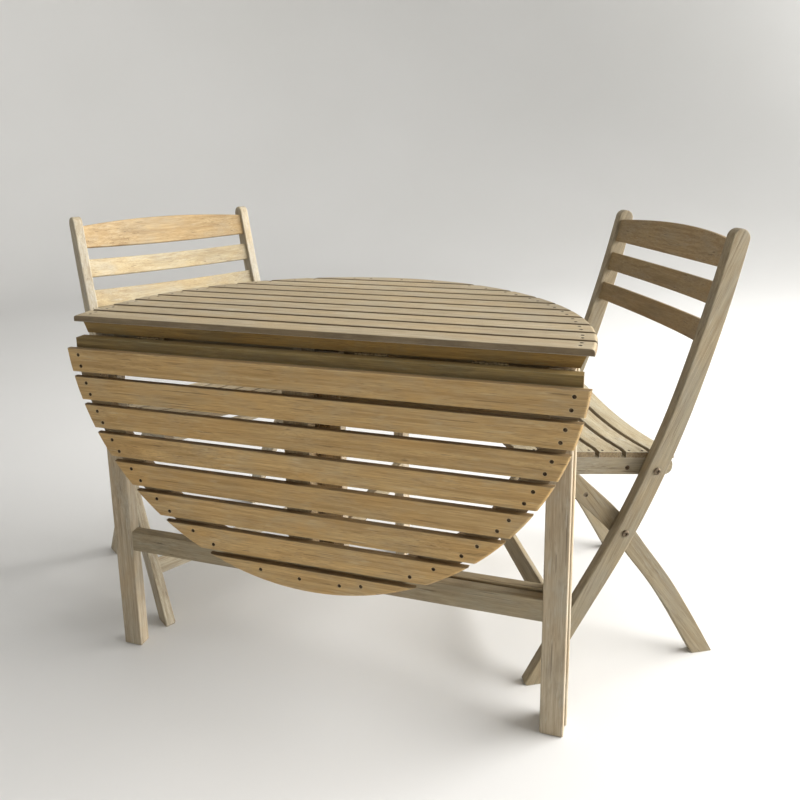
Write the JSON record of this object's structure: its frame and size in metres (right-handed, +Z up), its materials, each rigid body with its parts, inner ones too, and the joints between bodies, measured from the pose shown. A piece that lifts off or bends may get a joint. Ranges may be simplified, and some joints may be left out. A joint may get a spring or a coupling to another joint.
{
  "type": "patio dining set",
  "caption": "Round slatted gateleg table with a drop leaf hanging and a drop leaf raised, with folding slatted chairs tucked in at the rear.",
  "frame": {"origin": "centre of the whole set's footprint, on the floor", "axes": "+Z up, +X along the table's hinges towards the right-hand chair, +Y towards the raised leaf, away from the hanging leaf"},
  "size_m": [1.532, 0.7708, 0.9025],
  "materials": {
    "teak_top": "dry weathered teak, pale",
    "teak_leaf": "dry weathered teak, golden brown",
    "teak_frame": "dry weathered teak, grey brown",
    "teak_chair": "dry weathered teak",
    "dark_screw": "tarnished",
    "zinc_hardware": "dull zinc plated"
  },
  "bodies": {
    "table_frame": {"table_centre_slats": "teak_top", "table_centre_board": "teak_frame", "table_centre_screws": "dark_screw", "table_leg_left": "teak_frame", "table_leg_right": "teak_frame", "table_centre_post_left": "teak_frame", "table_centre_post_right": "teak_frame", "table_stretchers": "teak_frame", "table_top_rails": "teak_frame", "table_hinge_plates": "zinc_hardware"},
    "front_leaf": {"front_leaf_slats": "teak_leaf", "front_leaf_hinge_rail": "teak_leaf", "front_leaf_bearer": "teak_leaf", "front_leaf_rim_battens": "teak_leaf", "front_leaf_screws": "dark_screw", "front_leaf_hinge_plates": "zinc_hardware"},
    "front_gate": {"front_gate_stile": "teak_frame", "front_gate_leg": "teak_frame", "front_gate_rails": "teak_frame", "front_gate_hinge_plates": "zinc_hardware"},
    "rear_leaf": {"rear_leaf_slats": "teak_top", "rear_leaf_hinge_rail": "teak_top", "rear_leaf_bearer": "teak_top", "rear_leaf_rim_battens": "teak_top", "rear_leaf_screws": "dark_screw", "rear_leaf_hinge_plates": "zinc_hardware"},
    "rear_gate": {"rear_gate_stile": "teak_frame", "rear_gate_leg": "teak_frame", "rear_gate_rails": "teak_frame", "rear_gate_hinge_plates": "zinc_hardware"},
    "right_chair_frame": {"right_chair_post_left": "teak_chair", "right_chair_post_right": "teak_chair", "right_chair_back_top_slat": "teak_chair", "right_chair_back_lower_slats": "teak_chair", "right_chair_front_crossbar": "teak_chair", "right_chair_pivot_bolts": "zinc_hardware"},
    "right_chair_legs": {"right_chair_short_leg_left": "teak_chair", "right_chair_short_leg_right": "teak_chair", "right_chair_leg_crossbar": "teak_chair", "right_chair_leg_crossbar_screws": "dark_screw"},
    "right_chair_seat": {"right_chair_seat_rail_left": "teak_chair", "right_chair_seat_rail_right": "teak_chair", "right_chair_seat_crossbar": "teak_chair", "right_chair_seat_slats": "teak_chair", "right_chair_seat_screws": "dark_screw"},
    "left_chair_frame": {"left_chair_post_left": "teak_chair", "left_chair_post_right": "teak_chair", "left_chair_back_top_slat": "teak_chair", "left_chair_back_lower_slats": "teak_chair", "left_chair_front_crossbar": "teak_chair", "left_chair_pivot_bolts": "zinc_hardware"},
    "left_chair_legs": {"left_chair_short_leg_left": "teak_chair", "left_chair_short_leg_right": "teak_chair", "left_chair_leg_crossbar": "teak_chair", "left_chair_leg_crossbar_screws": "dark_screw"},
    "left_chair_seat": {"left_chair_seat_rail_left": "teak_chair", "left_chair_seat_rail_right": "teak_chair", "left_chair_seat_crossbar": "teak_chair", "left_chair_seat_slats": "teak_chair", "left_chair_seat_screws": "dark_screw"}
  },
  "joints": [
    {"name": "front_leaf_hinge", "type": "hinge", "parent": "table_frame", "child": "front_leaf", "pos_m": [0.00456, -0.34641, 0.701], "axis": [-1, 0, 0], "range_deg": [0, 93]},
    {"name": "rear_leaf_hinge", "type": "hinge", "parent": "table_frame", "child": "rear_leaf", "pos_m": [0.00456, -0.26441, 0.701], "axis": [1, 0, 0], "range_deg": [0, 3]},
    {"name": "front_gate_hinge", "type": "hinge", "parent": "table_frame", "child": "front_gate", "pos_m": [0.01282, -0.33541, 0.3], "axis": [0, 0, -1], "range_deg": [0, 1.8]},
    {"name": "rear_gate_hinge", "type": "hinge", "parent": "table_frame", "child": "rear_gate", "pos_m": [-0.00368, -0.27541, 0.3], "axis": [0, 0, 1], "range_deg": [-17, 20]},
    {"name": "right_chair_pull_out", "type": "slide", "parent": "table_frame", "child": "right_chair_frame", "axis": [0.8949, 0.4462, 0], "range_m": [0, 0.35]},
    {"name": "right_chair_leg_pivot", "type": "hinge", "parent": "right_chair_frame", "child": "right_chair_legs", "pos_m": [0.46356, 0.07639, 0.31], "axis": [-0.4462, 0.8949, 0], "range_deg": [0, 45]},
    {"name": "right_chair_seat_pivot", "type": "hinge", "parent": "right_chair_frame", "child": "right_chair_seat", "pos_m": [0.51681, 0.10294, 0.435], "axis": [-0.4462, 0.8949, 0], "range_deg": [0, 54]},
    {"name": "left_chair_pull_out", "type": "slide", "parent": "table_frame", "child": "left_chair_frame", "axis": [-0.8508, 0.5255, 0], "range_m": [0, 0.35]},
    {"name": "left_chair_leg_pivot", "type": "hinge", "parent": "left_chair_frame", "child": "left_chair_legs", "pos_m": [-0.45473, 0.03995, 0.31], "axis": [-0.5255, -0.8508, 0], "range_deg": [0, 45]},
    {"name": "left_chair_seat_pivot", "type": "hinge", "parent": "left_chair_frame", "child": "left_chair_seat", "pos_m": [-0.50535, 0.07122, 0.435], "axis": [-0.5255, -0.8508, 0], "range_deg": [0, 54]}
  ],
  "couplings": [
    {"joint": "right_chair_seat_pivot", "follows": "right_chair_leg_pivot", "ratio": 1.2},
    {"joint": "left_chair_seat_pivot", "follows": "left_chair_leg_pivot", "ratio": 1.2}
  ]
}
